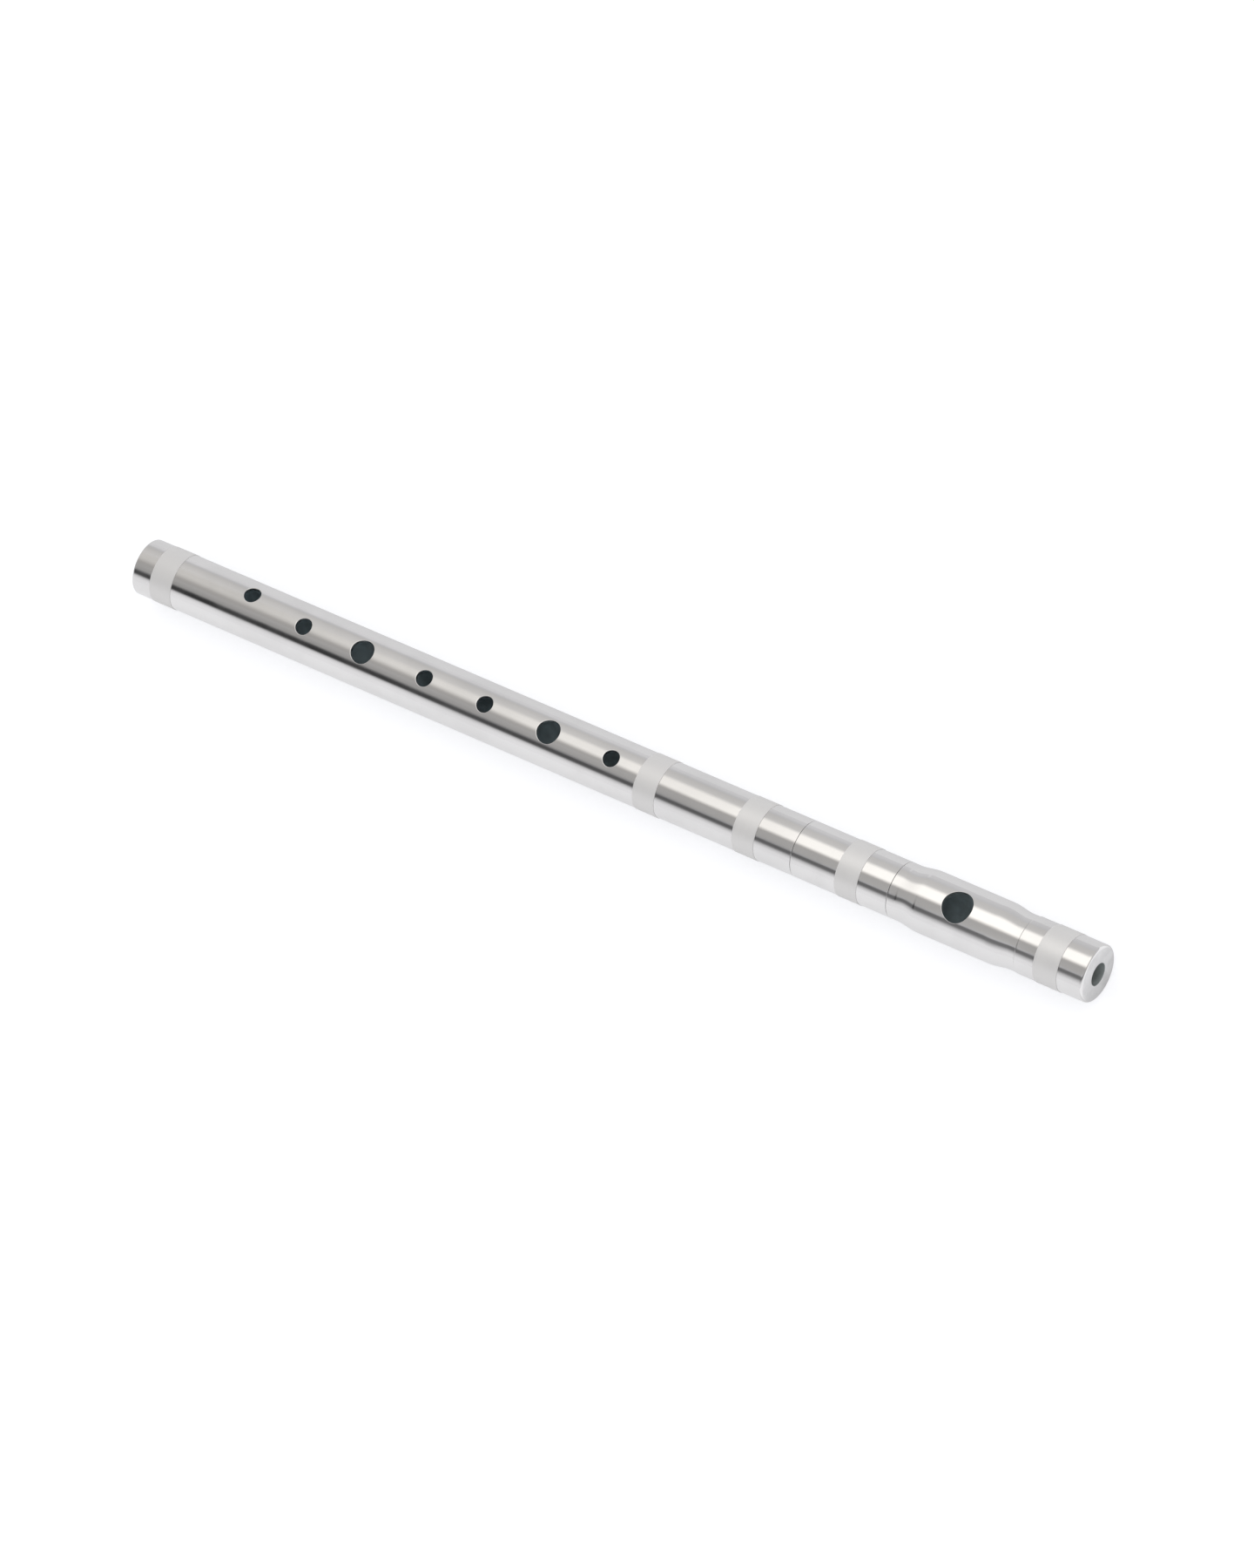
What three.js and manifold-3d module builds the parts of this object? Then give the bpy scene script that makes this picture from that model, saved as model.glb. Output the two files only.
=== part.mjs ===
// A metal fife: a side-blown flute turned from tube in two joints that telescope on a tenon sleeve.
// The body joint carries seven finger holes. The head joint carries a barrel-shaped lip sleeve with
// the blow hole, a crown that closes the tube's end, and a stopper that slides inside its bore.
// Units are millimetres. The tube lies along X, foot end at -X and head end at +X, holes facing +Z.

import * as THREE from "three";
import { mergeVertices } from "three/addons/utils/BufferGeometryUtils.js";
import Module from "manifold-3d";

const wasm = await Module();
wasm.setup();

// Bore, and the walls that lie round it one over another
const BORE_DIAMETER = 15;
const TENON_WALL = 0.55;
const SLIDE_CLEARANCE = 0.1;
const SOCKET_WALL = 0.6;
const SLEEVED_WALL = 0.65;

// Lengths along the tube, from the last finger hole to the crown's face
const JOINT_PAST_HOLES = 65.6;
const SHOULDER_LENGTH = 33.2;
const LIP_LENGTH = 44.1;
const CROWN_LENGTH = 23.4;

// Edges, the visible seams, and the play left where hidden ends meet
const EDGE_CHAMFER = 0.2;
const FOOT_EDGE_RADIUS = 0.55;
const SEAM_GAP = 0.3;
const END_CLEARANCE = 0.3;

// Distances from the foot end to the first finger hole, and on from each hole to the next
const FOOT_TO_FIRST = 40.2;
const FIRST_TO_SECOND = 20.6;
const SECOND_TO_THIRD = 21.4;
const THIRD_TO_FOURTH = 22.5;
const FOURTH_TO_FIFTH = 21.8;
const FIFTH_TO_SIXTH = 22.8;
const SIXTH_TO_SEVENTH = 22.4;

// Finger holes from the foot up. The first leans from +Z towards +Y by an angle in degrees.
const SMALL_HOLE = 5.2;
const LARGE_HOLE = 7.4;
const HOLE_RIM = 0.3;
const FIRST_HOLE_LEAN = 19;
const FINGER_HOLES = [
  { pitch: FOOT_TO_FIRST, diameter: SMALL_HOLE, lean: FIRST_HOLE_LEAN },
  { pitch: FIRST_TO_SECOND, diameter: SMALL_HOLE, lean: 0 },
  { pitch: SECOND_TO_THIRD, diameter: LARGE_HOLE, lean: 0 },
  { pitch: THIRD_TO_FOURTH, diameter: SMALL_HOLE, lean: 0 },
  { pitch: FOURTH_TO_FIFTH, diameter: SMALL_HOLE, lean: 0 },
  { pitch: FIFTH_TO_SIXTH, diameter: LARGE_HOLE, lean: 0 },
  { pitch: SIXTH_TO_SEVENTH, diameter: SMALL_HOLE, lean: 0 },
];

// Tenon sleeve: it slides in the body joint's socket, and the head joint turns on it.
const BODY_SOCKET_DEPTH = 22.5;
const HEAD_SOCKET_DEPTH = 15;
const TENON_LEAD = 0.25;

// Blow hole, and the barrel that the lip sleeve swells to round it
const BLOW_PAST_SHOULDER = 22.5;
const BLOW_LENGTH = 9.5;
const BLOW_WIDTH = 9.7;
const BLOW_UNDERCUT = 0.35;
const BLOW_RIM = 0.2;
const BARREL_RISE = 0.85;
const BARREL_SLOPE = 7.5;
const LIP_LAND = 2.3;

// Crown
const CROWN_PROUD = 0.2;
const CROWN_END_WALL = 5.7;
const CROWN_HOLE_DIAMETER = 7;
const CROWN_HOLE_CHAMFER = 0.4;
const CROWN_EDGE_RADIUS = 0.9;

// Satin bands, each let into a shallow groove of the part that it rings. The insets are measured
// from the foot end, the last finger hole, the joint, the lip sleeve and the crown's seam.
const BAND_WIDTH = 7.8;
const CROWN_BAND_WIDTH = 8.3;
const BAND_GROOVE_DEPTH = 0.25;
const BAND_PROUD = 0.12;
const FOOT_BAND_INSET = 6.5;
const BODY_BAND_INSET = 10;
const SOCKET_BAND_INSET = 12.7;
const HEAD_BAND_INSET = 10;
const CROWN_BAND_INSET = 6.6;

// Stopper: a cork clamped on a threaded stem between a face plate and a washer with its nut
const STOPPER_SETBACK = 14;
const STOPPER_PLAY = 0.15;
const PLATE_THICKNESS = 1.4;
const PLATE_CLEARANCE = 0.4;
const CORK_LENGTH = 11;
const CORK_BEVEL = 0.4;
const WASHER_THICKNESS = 0.8;
const WASHER_DIAMETER = 9;
const NUT_ACROSS_FLATS = 5.5;
const NUT_THICKNESS = 2.4;
const STEM_DIAMETER = 3;
const STEM_TAIL = 1.4;
const STEM_SLOT_WIDTH = 0.6;
const STEM_SLOT_DEPTH = 0.8;

// Steps round a full turn and along curves, and how far a cutter runs on past what it cuts
const TURN_STEPS = 48;
const STEM_STEPS = 24;
const HOLE_STEPS = 28;
const SLOPE_STEPS = 8;
const EDGE_STEPS = 3;
const CUTTER_OVERSHOOT = 1;

// Radii, from the bore outwards
const boreRadius = BORE_DIAMETER / 2;
const tenonRadius = boreRadius + TENON_WALL;
const socketRadius = tenonRadius + SLIDE_CLEARANCE;
const tubeRadius = socketRadius + SOCKET_WALL;
const sleevedRadius = boreRadius + SLEEVED_WALL;
const sleeveBoreRadius = sleevedRadius + SLIDE_CLEARANCE;
const barrelRadius = tubeRadius + BARREL_RISE;
const crownRadius = tubeRadius + CROWN_PROUD;

// Stations, measured along the tube from its foot end
const holeStations = FINGER_HOLES.map((_, i) =>
  FINGER_HOLES.slice(0, i + 1).reduce((station, hole) => station + hole.pitch, 0),
);
const lastHoleStation = holeStations.at(-1);
const jointStation = lastHoleStation + JOINT_PAST_HOLES;
const lipStation = jointStation + SHOULDER_LENGTH;
const blowStation = lipStation + BLOW_PAST_SHOULDER;
const crownStation = lipStation + LIP_LENGTH;
const endStation = crownStation + CROWN_LENGTH;
const crownWallStation = endStation - CROWN_END_WALL;

// Both joints meet at the first seam, half its gap each side of the joint's station.
const bodyTubeEnd = jointStation - SEAM_GAP / 2;
const headTubeStart = jointStation + SEAM_GAP / 2;
const bodySocketFloor = jointStation - BODY_SOCKET_DEPTH;
const headSocketFloor = jointStation + HEAD_SOCKET_DEPTH;

const footBand = bandFrom(FOOT_BAND_INSET, BAND_WIDTH, tubeRadius);
const bodyBand = bandFrom(lastHoleStation + BODY_BAND_INSET, BAND_WIDTH, tubeRadius);
const socketBand = bandFrom(jointStation - SOCKET_BAND_INSET - BAND_WIDTH, BAND_WIDTH, tubeRadius);
const headBand = bandFrom(lipStation - HEAD_BAND_INSET - BAND_WIDTH, BAND_WIDTH, tubeRadius);
const crownBand = bandFrom(crownStation + CROWN_BAND_INSET, CROWN_BAND_WIDTH, crownRadius);

// The stopper's parts follow one another from the face plate towards the crown.
const plateStation = blowStation + STOPPER_SETBACK;
const corkStation = plateStation + PLATE_THICKNESS + STOPPER_PLAY;
const washerStation = corkStation + CORK_LENGTH + STOPPER_PLAY;
const nutStation = washerStation + WASHER_THICKNESS + STOPPER_PLAY;
const stemEnd = nutStation + NUT_THICKNESS + STEM_TAIL;
const stemRadius = STEM_DIAMETER / 2;
const stemHoleRadius = stemRadius + STOPPER_PLAY;

const polished = new THREE.MeshStandardMaterial({ color: 0xdedcda, roughness: 0.06, metalness: 1 });
const satin = new THREE.MeshStandardMaterial({ color: 0xd3d0ce, roughness: 0.42, metalness: 1 });
const nickelSilver = new THREE.MeshStandardMaterial({ color: 0xc9c2ae, roughness: 0.2, metalness: 1 });
const brass = new THREE.MeshStandardMaterial({ color: 0xc8a258, roughness: 0.3, metalness: 1 });
const corkBrown = new THREE.MeshStandardMaterial({ color: 0xa9794a, roughness: 0.9, metalness: 0 });

// Solids and outlines

function toSolid(geometry) {
  const bare = geometry.clone();
  bare.deleteAttribute("normal");
  bare.deleteAttribute("uv");
  const merged = mergeVertices(bare);
  const index = merged.index.array;
  const kept = [];
  for (let i = 0; i < index.length; i += 3) {
    const [a, b, c] = [index[i], index[i + 1], index[i + 2]];
    if (a !== b && b !== c && c !== a) kept.push(a, b, c);
  }
  const mesh = new wasm.Mesh({
    numProp: 3,
    vertProperties: merged.attributes.position.array,
    triVerts: new Uint32Array(kept),
  });
  return new wasm.Manifold(mesh);
}

function toGeometry(solid) {
  const mesh = solid.getMesh();
  const geometry = new THREE.BufferGeometry();
  geometry.setAttribute("position", new THREE.BufferAttribute(new Float32Array(mesh.vertProperties), 3));
  geometry.setIndex(new THREE.BufferAttribute(new Uint32Array(mesh.triVerts), 1));
  geometry.computeVertexNormals();
  return geometry;
}

function cut(geometry, cutters) {
  let solid = toSolid(geometry);
  for (const cutter of cutters) solid = solid.subtract(toSolid(cutter));
  return toGeometry(solid);
}

// Revolves a closed outline of [radius, station] points about the tube's axis. The outline starts at
// the foot, runs towards the head along the inside and comes back along the outside.
function revolve(outline, steps = TURN_STEPS) {
  const points = [...outline, outline[0]].map(([radius, station]) => new THREE.Vector2(radius, station));
  const geometry = new THREE.LatheGeometry(points.reverse(), steps);
  geometry.rotateZ(-Math.PI / 2);
  geometry.translate(-endStation / 2, 0, 0);
  return geometry;
}

// Outline points of a rounded edge, from one angle to another, in degrees from straight outwards
function roundEdge(centreRadius, centreStation, radius, fromAngle, toAngle) {
  const points = [];
  for (let i = 0; i <= EDGE_STEPS; i++) {
    const angle = THREE.MathUtils.degToRad(THREE.MathUtils.lerp(fromAngle, toAngle, i / EDGE_STEPS));
    points.push([centreRadius + radius * Math.cos(angle), centreStation + radius * Math.sin(angle)]);
  }
  return points;
}

function bandFrom(start, width, hostRadius) {
  return { start, end: start + width, hostRadius };
}

// Outline points of the groove for a band, in the order in which an outline comes back to the foot
function bandGroove({ start, end, hostRadius }) {
  const floor = hostRadius - BAND_GROOVE_DEPTH;
  return [
    [hostRadius, end],
    [floor, end],
    [floor, start],
    [hostRadius, start],
  ];
}

// A cutter for a hole in the wall of a tube. It stands along +Z from inside the bore to outside the
// wall, and flares at its mouth in a quarter round that follows the saddle of the curved wall.
function holeCutter({ station, length, width, wallRadius, rim, undercut = 0, lean = 0 }) {
  const onTube = (radius, y) => Math.sqrt(radius ** 2 - y ** 2);
  const floorHeight = () => boreRadius / 2;
  const boreHeight = () => onTube(boreRadius, width / 2);
  const topHeight = () => wallRadius + CUTTER_OVERSHOOT;
  const rings = [
    { growth: undercut, height: floorHeight },
    { growth: undercut, height: boreHeight },
  ];
  for (let i = 0; i <= EDGE_STEPS; i++) {
    const angle = ((i / EDGE_STEPS) * Math.PI) / 2;
    rings.push({
      growth: rim * (1 - Math.cos(angle)),
      height: (y) => onTube(wallRadius, y) - rim * (1 - Math.sin(angle)),
    });
  }
  rings.push({ growth: rim, height: topHeight });

  const positions = [];
  const index = [];
  for (const { growth, height } of rings) {
    for (let i = 0; i < HOLE_STEPS; i++) {
      const angle = (i / HOLE_STEPS) * Math.PI * 2;
      const x = (length / 2 + growth) * Math.cos(angle);
      const y = (width / 2 + growth) * Math.sin(angle);
      positions.push(x, y, height(y));
    }
  }
  const bottomCentre = positions.length / 3;
  const topCentre = bottomCentre + 1;
  positions.push(0, 0, floorHeight(), 0, 0, topHeight());
  for (let i = 0; i < HOLE_STEPS; i++) {
    const next = (i + 1) % HOLE_STEPS;
    for (let ring = 0; ring < rings.length - 1; ring++) {
      const low = ring * HOLE_STEPS;
      const high = low + HOLE_STEPS;
      index.push(low + i, low + next, high + next);
      index.push(low + i, high + next, high + i);
    }
    const top = (rings.length - 1) * HOLE_STEPS;
    index.push(bottomCentre, next, i);
    index.push(topCentre, top + i, top + next);
  }
  const geometry = new THREE.BufferGeometry();
  geometry.setAttribute("position", new THREE.Float32BufferAttribute(positions, 3));
  geometry.setIndex(index);
  geometry.rotateX(-THREE.MathUtils.degToRad(lean));
  geometry.translate(station - endStation / 2, 0, 0);
  return geometry;
}

function blowHoleCutter() {
  return holeCutter({
    station: blowStation,
    length: BLOW_LENGTH,
    width: BLOW_WIDTH,
    wallRadius: barrelRadius,
    rim: BLOW_RIM,
    undercut: BLOW_UNDERCUT,
  });
}

// Body joint

function bodyTube() {
  const tube = revolve([
    [boreRadius + EDGE_CHAMFER, 0],
    [boreRadius, EDGE_CHAMFER],
    [boreRadius, bodySocketFloor],
    [socketRadius, bodySocketFloor],
    [socketRadius, bodyTubeEnd],
    [tubeRadius - EDGE_CHAMFER, bodyTubeEnd],
    [tubeRadius, bodyTubeEnd - EDGE_CHAMFER],
    ...bandGroove(socketBand),
    ...bandGroove(bodyBand),
    ...bandGroove(footBand),
    ...roundEdge(tubeRadius - FOOT_EDGE_RADIUS, FOOT_EDGE_RADIUS, FOOT_EDGE_RADIUS, 0, -90),
  ]);
  const cutters = FINGER_HOLES.map(({ diameter, lean }, i) =>
    holeCutter({
      station: holeStations[i],
      length: diameter,
      width: diameter,
      wallRadius: tubeRadius,
      rim: HOLE_RIM,
      lean,
    }),
  );
  return cut(tube, cutters);
}

function bandRing({ start, end, hostRadius }) {
  const inner = hostRadius - BAND_GROOVE_DEPTH + SLIDE_CLEARANCE;
  const outer = hostRadius + BAND_PROUD;
  return revolve([
    [inner, start + SLIDE_CLEARANCE],
    [inner, end - SLIDE_CLEARANCE],
    [outer, end - SLIDE_CLEARANCE],
    [outer, start + SLIDE_CLEARANCE],
  ]);
}

function tenonSleeve() {
  const start = bodySocketFloor + END_CLEARANCE;
  const end = headSocketFloor - END_CLEARANCE;
  return revolve([
    [boreRadius, start],
    [boreRadius, end],
    [tenonRadius - TENON_LEAD, end],
    [tenonRadius, end - TENON_LEAD],
    [tenonRadius, start + TENON_LEAD],
    [tenonRadius - TENON_LEAD, start],
  ]);
}

// Head joint

function headTube() {
  const end = crownWallStation - END_CLEARANCE;
  const tube = revolve([
    [socketRadius, headTubeStart],
    [socketRadius, headSocketFloor],
    [boreRadius, headSocketFloor],
    [boreRadius, end],
    [sleevedRadius - EDGE_CHAMFER, end],
    [sleevedRadius, end - EDGE_CHAMFER],
    [sleevedRadius, lipStation],
    [tubeRadius - EDGE_CHAMFER, lipStation],
    [tubeRadius, lipStation - EDGE_CHAMFER],
    ...bandGroove(headBand),
    [tubeRadius, headTubeStart + EDGE_CHAMFER],
    [tubeRadius - EDGE_CHAMFER, headTubeStart],
  ]);
  return cut(tube, [blowHoleCutter()]);
}

// The sleeve is flush with the tube at both ends and swells to a level barrel between them.
function lipSleeve() {
  const start = lipStation + SEAM_GAP;
  const end = crownStation;
  const slope = (flushStation, towardsBarrel) => {
    const points = [];
    for (let i = 0; i <= SLOPE_STEPS; i++) {
      const t = i / SLOPE_STEPS;
      const rise = (BARREL_RISE * (1 - Math.cos(Math.PI * t))) / 2;
      points.push([tubeRadius + rise, flushStation + towardsBarrel * BARREL_SLOPE * t]);
    }
    return points;
  };
  const sleeve = revolve([
    [sleeveBoreRadius, start],
    [sleeveBoreRadius, end],
    [tubeRadius - EDGE_CHAMFER, end],
    [tubeRadius, end - EDGE_CHAMFER],
    ...slope(end - LIP_LAND, -1),
    ...slope(start + LIP_LAND, 1).reverse(),
    [tubeRadius, start + EDGE_CHAMFER],
    [tubeRadius - EDGE_CHAMFER, start],
  ]);
  return cut(sleeve, [blowHoleCutter()]);
}

function crownCap() {
  const start = crownStation + SEAM_GAP;
  const holeRadius = CROWN_HOLE_DIAMETER / 2;
  return revolve([
    [sleeveBoreRadius, start],
    [sleeveBoreRadius, crownWallStation],
    [holeRadius, crownWallStation],
    [holeRadius, endStation - CROWN_HOLE_CHAMFER],
    [holeRadius + CROWN_HOLE_CHAMFER, endStation],
    ...roundEdge(crownRadius - CROWN_EDGE_RADIUS, endStation - CROWN_EDGE_RADIUS, CROWN_EDGE_RADIUS, 90, 0),
    ...bandGroove(crownBand),
    [crownRadius, start + EDGE_CHAMFER],
    [crownRadius - EDGE_CHAMFER, start],
  ]);
}

// Stopper

function stopperStem() {
  const plateRadius = boreRadius - PLATE_CLEARANCE;
  const plateBack = plateStation + PLATE_THICKNESS;
  const outline = [
    [0, plateStation],
    [0, stemEnd],
    [stemRadius - EDGE_CHAMFER, stemEnd],
    [stemRadius, stemEnd - EDGE_CHAMFER],
    [stemRadius, plateBack],
    [plateRadius, plateBack],
    [plateRadius, plateStation + EDGE_CHAMFER],
    [plateRadius - EDGE_CHAMFER, plateStation],
  ];
  const slot = new THREE.BoxGeometry(2 * STEM_SLOT_DEPTH, 2 * STEM_DIAMETER, STEM_SLOT_WIDTH);
  slot.translate(stemEnd - endStation / 2, 0, 0);
  return cut(revolve(outline, STEM_STEPS), [slot]);
}

function stopperCork() {
  const radius = boreRadius - STOPPER_PLAY;
  const end = corkStation + CORK_LENGTH;
  return revolve([
    [stemHoleRadius, corkStation],
    [stemHoleRadius, end],
    [radius - CORK_BEVEL, end],
    [radius, end - CORK_BEVEL],
    [radius, corkStation + CORK_BEVEL],
    [radius - CORK_BEVEL, corkStation],
  ]);
}

function stopperWasher() {
  const end = washerStation + WASHER_THICKNESS;
  const outline = [
    [stemHoleRadius, washerStation],
    [stemHoleRadius, end],
    [WASHER_DIAMETER / 2, end],
    [WASHER_DIAMETER / 2, washerStation],
  ];
  return revolve(outline, STEM_STEPS);
}

function stopperNut() {
  const cornerRadius = NUT_ACROSS_FLATS / Math.sqrt(3);
  const corners = [];
  for (let i = 0; i < 6; i++) {
    const angle = (i * Math.PI) / 3;
    corners.push(new THREE.Vector2(cornerRadius * Math.cos(angle), cornerRadius * Math.sin(angle)));
  }
  const hexagon = new THREE.Shape(corners);
  hexagon.holes.push(new THREE.Path().absarc(0, 0, stemHoleRadius, 0, Math.PI * 2, true));
  const options = { depth: NUT_THICKNESS, bevelEnabled: false, curveSegments: STEM_STEPS / 2 };
  const nut = new THREE.ExtrudeGeometry(hexagon, options);
  nut.rotateY(Math.PI / 2);
  nut.translate(nutStation - endStation / 2, 0, 0);
  return nut;
}

const fife = new THREE.Group();

function add(name, geometry, material) {
  const mesh = new THREE.Mesh(geometry, material);
  mesh.name = name;
  fife.add(mesh);
}

add("body_tube", bodyTube(), polished);
add("foot_band", bandRing(footBand), satin);
add("body_band", bandRing(bodyBand), satin);
add("socket_band", bandRing(socketBand), satin);
add("tenon_sleeve", tenonSleeve(), nickelSilver);
add("head_tube", headTube(), polished);
add("head_band", bandRing(headBand), satin);
add("lip_sleeve", lipSleeve(), polished);
add("crown_cap", crownCap(), polished);
add("crown_band", bandRing(crownBand), satin);
add("stopper_stem", stopperStem(), brass);
add("stopper_cork", stopperCork(), corkBrown);
add("stopper_washer", stopperWasher(), brass);
add("stopper_nut", stopperNut(), brass);

export default fife;
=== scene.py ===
"""A metal fife, finely turned and finished round the frame that its solids give."""

import math

import bpy
from bpy.props import FloatProperty, FloatVectorProperty, IntProperty, PointerProperty
from mathutils import Matrix, Vector


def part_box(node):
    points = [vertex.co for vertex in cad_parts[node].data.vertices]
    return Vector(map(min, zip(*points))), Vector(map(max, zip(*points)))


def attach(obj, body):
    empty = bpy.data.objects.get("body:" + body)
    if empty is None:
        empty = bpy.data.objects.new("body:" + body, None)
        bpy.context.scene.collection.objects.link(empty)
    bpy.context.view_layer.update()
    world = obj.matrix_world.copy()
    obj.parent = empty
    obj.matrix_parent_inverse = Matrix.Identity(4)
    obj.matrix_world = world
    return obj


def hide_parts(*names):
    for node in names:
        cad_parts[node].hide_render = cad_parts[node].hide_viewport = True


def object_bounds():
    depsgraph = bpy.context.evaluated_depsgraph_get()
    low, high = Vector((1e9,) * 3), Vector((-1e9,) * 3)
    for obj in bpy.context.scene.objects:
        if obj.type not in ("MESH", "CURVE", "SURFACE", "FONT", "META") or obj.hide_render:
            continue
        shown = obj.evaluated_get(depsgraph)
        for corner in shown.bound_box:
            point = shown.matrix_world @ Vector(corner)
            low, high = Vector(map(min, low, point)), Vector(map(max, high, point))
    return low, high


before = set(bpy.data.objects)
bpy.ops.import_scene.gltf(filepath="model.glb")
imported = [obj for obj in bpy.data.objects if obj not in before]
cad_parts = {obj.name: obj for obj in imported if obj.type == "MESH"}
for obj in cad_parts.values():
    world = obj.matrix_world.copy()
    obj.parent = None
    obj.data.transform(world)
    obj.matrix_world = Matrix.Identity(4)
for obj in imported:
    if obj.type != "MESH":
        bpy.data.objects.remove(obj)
cad_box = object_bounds()

bl_info = {
    "name": "Metal Fife",
    "version": (1, 0, 0),
    "blender": (4, 5, 0),
    "location": "View3D > Sidebar > Fife",
    "description": "Turns, bores and finishes the pieces of a two-joint metal fife",
    "category": "Add Mesh",
}

FOOT_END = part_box("body_tube")[0].x
BODY_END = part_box("body_tube")[1].x
HEAD_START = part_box("head_tube")[0].x
HEAD_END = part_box("head_tube")[1].x
LIP_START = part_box("lip_sleeve")[0].x
LIP_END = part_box("lip_sleeve")[1].x
CROWN_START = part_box("crown_cap")[0].x
CROWN_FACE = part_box("crown_cap")[1].x
TUBE_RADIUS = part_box("body_tube")[1].z
BARREL_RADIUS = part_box("lip_sleeve")[1].z
CROWN_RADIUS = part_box("crown_cap")[1].z
TENON_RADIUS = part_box("tenon_sleeve")[1].z

# Finger holes from the foot up: distance from the foot end, whether large, and whether it leans
FINGER_HOLES = (
    (0.0402, False, True),
    (0.0608, False, False),
    (0.0822, True, False),
    (0.1047, False, False),
    (0.1265, False, False),
    (0.1493, True, False),
    (0.1717, False, False),
)
BLOW_HOLE = FOOT_END + 0.2930

# The photograph's direction from the fife to the camera, and the slope of the tube in the picture
TO_CAMERA = Vector((0.4462, -0.1876, 0.8751)).normalized()
TUBE_SLOPE = math.radians(23.28)

# Points closer than this are one, and points this near to a wall's radius lie on it
SAME_POINT = 1e-6
ON_WALL = 2e-5

# How squarely a face looks at the tube's axis, and out of the crown, to take that place's finish
FACES_AXIS = -0.9
FACES_OUT = 0.98

# Edges that turn by less than this are shaded smooth
SMOOTH_ANGLE = math.radians(24)

# Hole cutter: the arc of its mouth, the undercut's depth, its reach past the wall, and the wall kept
MOUTH_ARC = math.radians(78)
UNDERCUT_DEPTH = 0.0016
CUTTER_OVERSHOOT = 0.002
KEPT_WALL = 0.0008

# Stopper: the stem, the gaps on it, the driver's slot in its end, and the roundings of its rings
STEM_RADIUS = 0.0015
STEM_GAP = 0.0001
PLATE_GAP = 0.00015
DRIVER_SLOT = (0.0016, 0.006, 0.0006)
CORK_ROUND = 0.0004
WASHER_ROUND = 0.00012
NUT_LEAD = 0.6

FLOOR_SIZE = 8

# Tints of the light round the tube
COOL, PLAIN, WARM = (0.98, 0.98, 1.0), (1.0, 0.985, 0.97), (1.0, 0.965, 0.93)

# What metal sees of the room: degrees round the tube, level near the foot, level near the head, tint
ROOM_STOPS = (
    (-90, 0.92, 0.92, COOL),
    (-76, 0.9, 0.9, COOL),
    (-66, 0.76, 0.6, COOL),
    (-58, 0.06, 0.28, COOL),
    (-56, 0.015, 0.2, COOL),
    (-47, 0.015, 0.17, COOL),
    (-42, 0.02, 0.56, COOL),
    (-36, 0.3, 0.5, PLAIN),
    (-20, 0.42, 0.46, PLAIN),
    (-4, 0.38, 0.47, WARM),
    (8, 0.5, 0.62, WARM),
    (18, 0.72, 0.74, WARM),
    (33, 0.71, 0.71, PLAIN),
    (52, 0.65, 0.63, PLAIN),
    (62, 0.59, 0.62, PLAIN),
    (69, 0.6, 0.62, COOL),
    (78, 0.8, 0.65, COOL),
    (90, 0.82, 0.68, COOL),
)


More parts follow.
